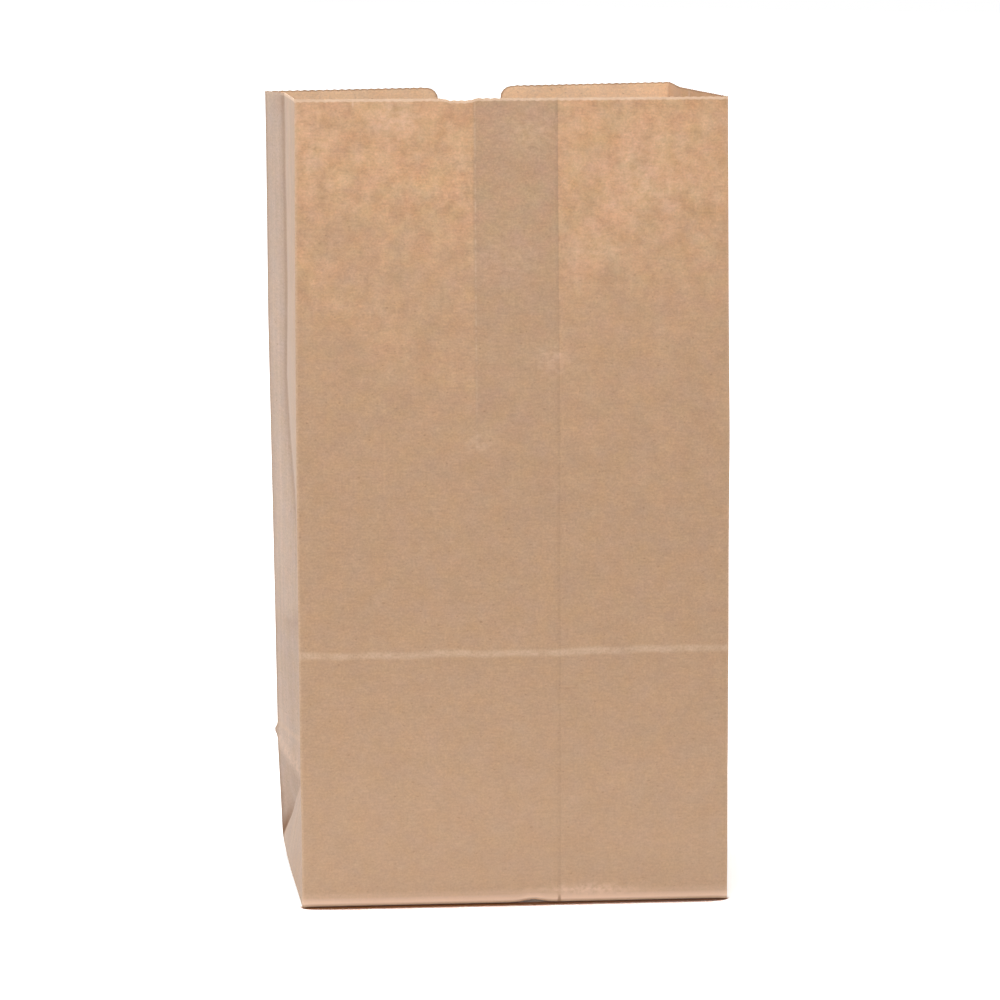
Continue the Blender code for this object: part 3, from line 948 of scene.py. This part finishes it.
def kraft_material(finish, s):
    """Matte unbleached kraft: clouds, cross fibres, pulp specks, rubbed creases and a pale cut edge, with
    painted light, sheen, highlights and shade.
    """
    material = bpy.data.materials.new("kraft_paper_detail")
    desk = NodeDesk(material)
    span, fade, times, plus, over, grain = desk.span, desk.fade, desk.times, desk.plus, desk.over, desk.grain
    shader = desk.tree.nodes["Principled BSDF"]
    sheet = desk.put("ShaderNodeAttribute", attribute_name="sheet").outputs["Vector"]
    names = ("fold", "rim", "glow", "double", "side", "within", "valley", "soil", "rubbed")
    fold, rim, glow, double, side, within, valley, soil, rubbed = (desk.value(name) for name in names)
    run, height = desk.parts(sheet)[:2]
    outer = desk.minus(1.0, within)
    single = desk.minus(1.0, double)
    front = desk.math("LESS_THAN", run, s.panel_width)
    from_back = desk.minus(desk.gap(run, 1.5 * s.panel_width + s.gusset_width), s.panel_width / 2)
    cloud = grain(sheet, 75.0, 3.0, 0.6)
    fibres = grain(sheet, (90.0, 950.0), 3.0, 0.6)
    hairs = grain(sheet, (420.0, 1500.0), 2.0, 0.55)
    dust = grain(sheet, 1300.0, 2.0, 0.6)
    flecks = grain(sheet, (620.0, 1000.0), 1.0, 0.4)
    clumps = grain(sheet, (380.0, 460.0), 3.0, 0.65)
    mottle = grain(sheet, 170.0, 3.0, 0.6)
    tint = grain(sheet, 120.0, 3.0, 0.6)
    blotch = grain(sheet, (150.0, 125.0), 4.0, 0.62)
    redder = grain(sheet, (95.0, 110.0), 3.0, 0.6)
    streaks = grain(sheet, (330.0, 9.0), 2.0, 0.5)
    wander = span(grain(sheet, 60.0), 0.0, 1.0, -0.0012, 0.0012)
    fray = span(grain(sheet, 420.0), 0.3, 0.7, 0.0004, 0.0011)

    # Plain tones of the outer face, the gussets and the inner face, with painted light where it shines
    # through the paper and a painted sheen on the gussets
    patchy = plus(span(cloud, 0.3, 0.7, -0.16, 0.16), span(clumps, 0.3, 0.7, -0.06, 0.06))
    patchy = times(plus(patchy, span(mottle, 0.3, 0.7, -0.14, 0.14)), span(glow, 0.0, 0.6, 0.12, 1.0))
    lit = plus(times(glow, single), times(patchy, span(double, 0.0, 1.0, 1.0, 0.5)), clamp=True)
    base = over((*finish.kraft, 1.0), finish.lit, lit)
    # Painted sheen: the gussets' paler, greyer tone
    face = over((*finish.side_back_sheen, 1.0), finish.side, span(from_back, 0.0, s.gusset_width))
    base = desk.mix(times(side, span(glow, 0.0, 1.0, 1.0, 0.3)), base, face)
    base = over(base, finish.inside, within)
    near_mouth = span(height, 0.23, 0.272, smooth=True)
    base = over(base, finish.inside_lit, within, near_mouth, span(side, 0.0, 1.0, 1.0, 0.1))

    # Grain, streaks along the gussets, and blotches where light shines through
    shade = span(cloud, 0.25, 0.75, 0.965, 1.035)
    for texture, change in ((fibres, 0.03), (hairs, 0.05), (dust, 0.11), (clumps, 0.055), (mottle, 0.03)):
        shade = times(shade, span(texture, 0.25, 0.75, 1 - change, 1 + change))
    shade = times(shade, plus(times(span(streaks, 0.3, 0.7, -0.07, 0.07), side, outer), 1.0))
    shade = plus(times(desk.minus(shade, 1.0), span(glow, 0.3, 1.0, 1.0, 1.15)), 1.0)
    toned = desk.put("ShaderNodeVectorMath", operation="SCALE")
    desk.feed(toned, 0, base)
    desk.feed(toned, "Scale", shade)
    warm = desk.mix(span(tint, 0.3, 0.7), (1.02, 0.998, 0.95, 1.0), (0.98, 1.002, 1.05, 1.0))
    base = desk.mix(1.0, toned.outputs[0], warm, "MULTIPLY")
    blotch = desk.mix(span(blotch, 0.34, 0.66), (0.915, 0.885, 0.84, 1.0), (1.085, 1.12, 1.17, 1.0))
    base = desk.mix(times(span(glow, 0.1, 0.8), single), base, blotch, "MULTIPLY")
    redder = desk.mix(span(redder, 0.35, 0.65), (1.02, 0.975, 1.0, 1.0), (0.985, 1.02, 0.985, 1.0))
    base = desk.mix(span(glow, 0.0, 0.8, 0.3, 1.0), base, redder, "MULTIPLY")
    base = over(base, finish.speck_and_shade, span(flecks, 0.68, 0.80, 0.0, 0.4), span(glow, 0.3, 1.0, 1.0, 0.5))

    # The crease across the front, the rubbed folds, painted shade in the gussets' valley, creases and
    # corners, and painted light that makes the outer face paler toward the bottom
    crease = span(run, 0.0, s.panel_width, crease_height(s, 0.0), crease_height(s, s.panel_width))
    pressed = times(fade(desk.gap(plus(height, wander), crease), 0.0004, 0.0019, smooth=True), front)
    pressed = times(pressed, span(dust, 0.3, 0.7, 0.25, 0.65), span(mottle, 0.38, 0.6, 0.6, 1.2))
    base = over(base, finish.crease, pressed)
    ridge = fade(fold, 0.0001, span(side, 0.0, 1.0, 0.0013, 0.0017), smooth=True)
    base = over(base, finish.crease, ridge, span(dust, 0.3, 0.7, 0.2, 0.6), span(valley, 0.0004, 0.0012))
    # Painted shade: a dark line along the gussets' valley crease, laid with the gussets' painted shade in
    # corners and creases
    valley_shade = times(fade(valley, 0.0006, 0.003, 0.2, True), span(clumps, 0.35, 0.6, 0.6, 1.0))
    base = over(base, finish.shadow, desk.math("MAXIMUM", valley_shade, times(soil, outer)))
    # Painted light: the outer face of the panels and base grows paler toward the bottom, standing in for the
    # floor's bounce
    base = over(base, finish.crease, fade(height, 0.0, 0.1, 0.2), fade(side, 0.0, 1.0), outer)

    # The front's foot: pale along the fold, partly rubbed paper and partly a painted highlight where it faces
    # the floor; painted shade at its lower lip, a painted shadow where the outer ply ends, and painted
    # highlights on the front and the left gusset
    wear_and_highlight = plus(fade(height, 0.0026, 0.005, 0.2, True), fade(height, 0.0004, 0.0026, 0.74))
    base = over(base, finish.wear_and_highlight, wear_and_highlight, span(height, 0.0001, 0.0008, 0.15, 1.0), front)
    # Painted shade: the lowest part of the front's fold, darkened where it turns under toward the floor
    base = over(base, finish.speck_and_shade, fade(height, 0.0002, 0.0008, 0.45), front)
    # Painted shadow: a dark line beside the edge of the seam's outer ply, low on the front
    step = fade(desk.gap(run, s.panel_width / 2 + s.seam_right), 0.0002, 0.0007, 0.6)
    base = over(base, finish.shadow, step, fade(height, 0.001, 0.0026), front)
    # Painted highlights: pale spots and a streak on the front, and a pale band across the left gusset
    base = over(base, finish.wear_and_highlight, rubbed, span(clumps, 0.38, 0.62, 0.2, 1.0))

    # The seam's inner joint, the nick in the rim, the cut edge, pale from torn fibres and a painted
    # highlight, and painted shade just inside the rim
    joint = desk.gap(run, s.panel_width / 2 + s.seam_right - s.seam_overlap)
    joint = times(fade(joint, 0.0001, 0.0004, 0.4, True), front, span(clumps, 0.4, 0.6))
    base = over(base, finish.crease, joint, span(height, 0.15, 0.2))
    nick = fade(desk.gap(run, 0.0202), 0.0001, 0.0005, 0.45)
    base = over(base, finish.edge, nick, fade(rim, 0.002, 0.0035), front)
    # The pale cut edge: torn fibres and a painted highlight along the rim
    soft = times(fade(rim, 0.0006, 0.0012, 0.9, True), span(clumps, 0.38, 0.6, 0.65, 1.05))
    cut = desk.math("MAXIMUM", times(desk.math("LESS_THAN", rim, fray), 0.7), soft)
    flush = times(side, fade(from_back, 0.014, 0.02, 0.8))
    base = over(base, finish.edge, cut, outer, desk.minus(1.0, flush))
    # Painted shade: a dark line on the inner face just below the rim
    base = over(base, finish.shadow, fade(rim, 0.0002, 0.0007, 0.6), within)
    desk.feed(shader, "Base Color", base)

    desk.feed(shader, "Roughness", span(fibres, 0.2, 0.8, 0.78, 0.92))
    desk.feed(shader, "Specular IOR Level", 0.3)
    desk.feed(shader, "Sheen Weight", 0.08)
    desk.feed(shader, "Sheen Roughness", 0.5)
    bump = desk.put("ShaderNodeBump")
    desk.feed(bump, "Strength", 0.5)
    desk.feed(bump, "Distance", 0.00012)
    desk.feed(bump, "Height", plus(plus(times(fibres, 0.5), times(hairs, 0.35)), times(dust, 0.25)))
    desk.feed(shader, "Normal", bump.outputs[0])
    return material


def floor_material():
    """A white studio sweep: the camera sees it as white and keeps the bag's shadow, with a painted dark
    contact shadow along the bag's front foot.
    """
    material = bpy.data.materials.new("studio_white")
    desk = NodeDesk(material)
    shader = desk.tree.nodes["Principled BSDF"]
    seen = desk.seen()
    open_sky = desk.put("ShaderNodeAmbientOcclusion", samples=16)
    desk.feed(open_sky, "Distance", 0.012)
    place = desk.put("ShaderNodeTexCoord").outputs["Object"]
    axes = desk.parts(place)
    bare = desk.span(open_sky.outputs["AO"], 0.57, 0.67)
    for axis, start, end in ((1, -0.046, -0.041), (0, 0.0735, 0.0765), (0, -0.0775, -0.08)):
        bare = desk.math("MAXIMUM", bare, desk.span(axes[axis], start, end))
    # Painted contact shadow: dark brown tones where the floor is hidden from the open sky, near the bag's
    # front foot
    dark = desk.mix(desk.span(axes[0], -0.01, 0.05), (0.2, 0.085, 0.035, 1.0), (0.17, 0.095, 0.07, 1.0))
    painted_contact_shadow = desk.mix(desk.span(bare, 0.0, 0.6), dark, (0.6, 0.27, 0.14, 1.0))
    seen_floor = desk.mix(desk.span(bare, 0.4, 1.0), painted_contact_shadow, (1.8, 1.8, 1.8, 1.0))
    away = desk.put("ShaderNodeVectorMath", operation="LENGTH")
    desk.feed(away, 0, place)
    far = desk.span(away.outputs["Value"], 0.25, 1.0, smooth=True)
    desk.feed(shader, "Base Color", desk.mix(seen, (0.9, 0.9, 0.9, 1.0), seen_floor))
    desk.feed(shader, "Roughness", 0.9)
    desk.feed(shader, "Specular IOR Level", 0.0)
    desk.feed(shader, "Emission Color", WHITE)
    desk.feed(shader, "Emission Strength", desk.times(seen, far))
    return material


def white_world(ambient):
    """White to the camera, and a plain level of white light on everything."""
    world = bpy.data.worlds.new("studio_white")
    desk = NodeDesk(world)
    background = desk.tree.nodes["Background"]
    desk.feed(background, "Color", WHITE)
    desk.feed(background, "Strength", desk.span(desk.seen(), 0.0, 1.0, ambient, 1.0))
    bpy.context.scene.world = world


def soft_light(name, place, aim, size, power):
    data = bpy.data.lights.new(name, "AREA")
    data.shape = "SQUARE"
    data.size = size
    data.energy = power
    light = bpy.data.objects.new(name, data)
    light.location = place
    light.rotation_euler = (Vector(aim) - Vector(place)).to_track_quat("-Z", "Y").to_euler()
    bpy.context.scene.collection.objects.link(light)


def camera_matrix(aim, azimuth, elevation, roll, distance):
    """Placement of a camera that looks at the aim. azimuth runs from the front toward the left."""
    azimuth, elevation, roll = (math.radians(value) for value in (azimuth, elevation, roll))
    turn = Matrix.Rotation(-azimuth, 4, "Z") @ Matrix.Rotation(math.pi / 2 - elevation, 4, "X")
    turn = turn @ Matrix.Rotation(roll, 4, "Z")
    return Matrix.Translation(aim) @ turn @ Matrix.Translation((0, 0, distance))


class PAPERBAG_OT_fold(bpy.types.Operator):
    """Folds the kraft bag in full detail in place of the plain CAD solid"""

    bl_idname = "paperbag.fold"
    bl_label = "Fold the Bag"
    bl_options = {"REGISTER", "UNDO"}

    def execute(self, context):
        sizes = context.scene.paper_bag_sizes
        finish = context.scene.paper_bag_finish
        mesh = paper_bag_mesh(sizes, "kraft_bag")
        bag = bpy.data.objects.new("kraft_bag", mesh)
        context.scene.collection.objects.link(bag)
        mesh.materials.append(kraft_material(finish, sizes))
        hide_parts("paper_bag")
        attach(bag, "root")
        return {"FINISHED"}


class PAPERBAG_OT_studio(bpy.types.Operator):
    """Sets the floor, the white surroundings, the soft lights and the camera"""

    bl_idname = "paperbag.studio"
    bl_label = "Set the Studio"
    bl_options = {"REGISTER", "UNDO"}

    def execute(self, context):
        scene = context.scene
        studio = scene.paper_bag_studio
        bpy.ops.mesh.primitive_plane_add(size=30.0, location=(0.0, 0.0, 0.0))
        floor = context.object
        floor.name = "studio_floor"
        floor.data.materials.append(floor_material())
        white_world(studio.ambient)
        for name, place, aim, size in LIGHTS:
            soft_light(name + "_light", place, aim, size, getattr(studio, name))
        camera = bpy.data.cameras.new("camera")
        camera.lens = studio.lens
        camera.sensor_width = 36.0
        eye = bpy.data.objects.new("camera", camera)
        eye.matrix_world = camera_matrix(CAMERA_AIM, *CAMERA_ANGLES, studio.distance)
        scene.collection.objects.link(eye)
        scene.camera = eye
        scene.view_settings.view_transform = "Standard"
        return {"FINISHED"}


class VIEW3D_PT_paper_bag(bpy.types.Panel):
    """The bag's sizes, paper colours and studio"""

    bl_label = "Paper Bag"
    bl_space_type = "VIEW_3D"
    bl_region_type = "UI"
    bl_category = "Paper Bag"

    def draw(self, context):
        layout = self.layout
        scene = context.scene
        for title, group in (
            ("Sizes", scene.paper_bag_sizes),
            ("Paper", scene.paper_bag_finish),
            ("Studio", scene.paper_bag_studio),
        ):
            box = layout.box()
            box.label(text=title)
            for name in group.__annotations__:
                box.prop(group, name)
        layout.operator(PAPERBAG_OT_fold.bl_idname)
        layout.operator(PAPERBAG_OT_studio.bl_idname)


GROUPS = {
    "paper_bag_sizes": PaperBagSizes,
    "paper_bag_finish": PaperBagFinish,
    "paper_bag_studio": PaperBagStudio,
}
CLASSES = (*GROUPS.values(), PAPERBAG_OT_fold, PAPERBAG_OT_studio, VIEW3D_PT_paper_bag)


def register():
    for item in CLASSES:
        bpy.utils.register_class(item)
    for name, group in GROUPS.items():
        setattr(bpy.types.Scene, name, bpy.props.PointerProperty(type=group))


def unregister():
    for name in reversed(GROUPS):
        delattr(bpy.types.Scene, name)
    for item in reversed(CLASSES):
        bpy.utils.unregister_class(item)


def main():
    register()
    bpy.ops.paperbag.fold()
    bpy.ops.paperbag.studio()


if __name__ == "__main__":
    main()
